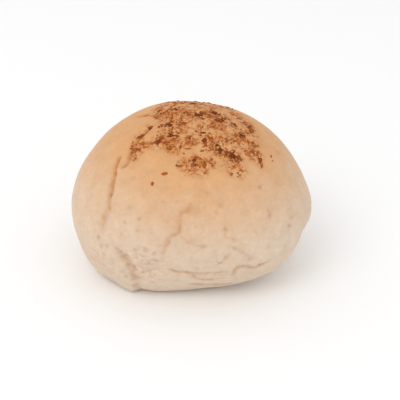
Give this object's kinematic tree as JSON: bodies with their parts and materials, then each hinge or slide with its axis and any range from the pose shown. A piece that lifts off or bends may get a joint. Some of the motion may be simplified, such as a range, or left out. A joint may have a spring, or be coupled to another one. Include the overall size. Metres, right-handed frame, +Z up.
{
  "type": "bread roll",
  "caption": "Soft round bread roll with a pale golden crust, a side fold, a small torn patch low at the front and coarse toasted flakes baked on its crown.",
  "frame": {"origin": "middle of the bounding box at the level of the flat base", "axes": "+X to the right along the longest side, -Y towards the front, where the torn patch is, +Z up"},
  "size_m": [0.0914, 0.0828, 0.0615],
  "materials": {
    "crust": "Soft, thin, matte baked skin: golden tan at the crown, paler cream towards the base, browned underneath.",
    "topping": "Coarse dry toasted flakes, dark brown to tan, with a few pale grains."
  },
  "bodies": {
    "root": {"roll": "crust"}
  },
  "joints": []
}
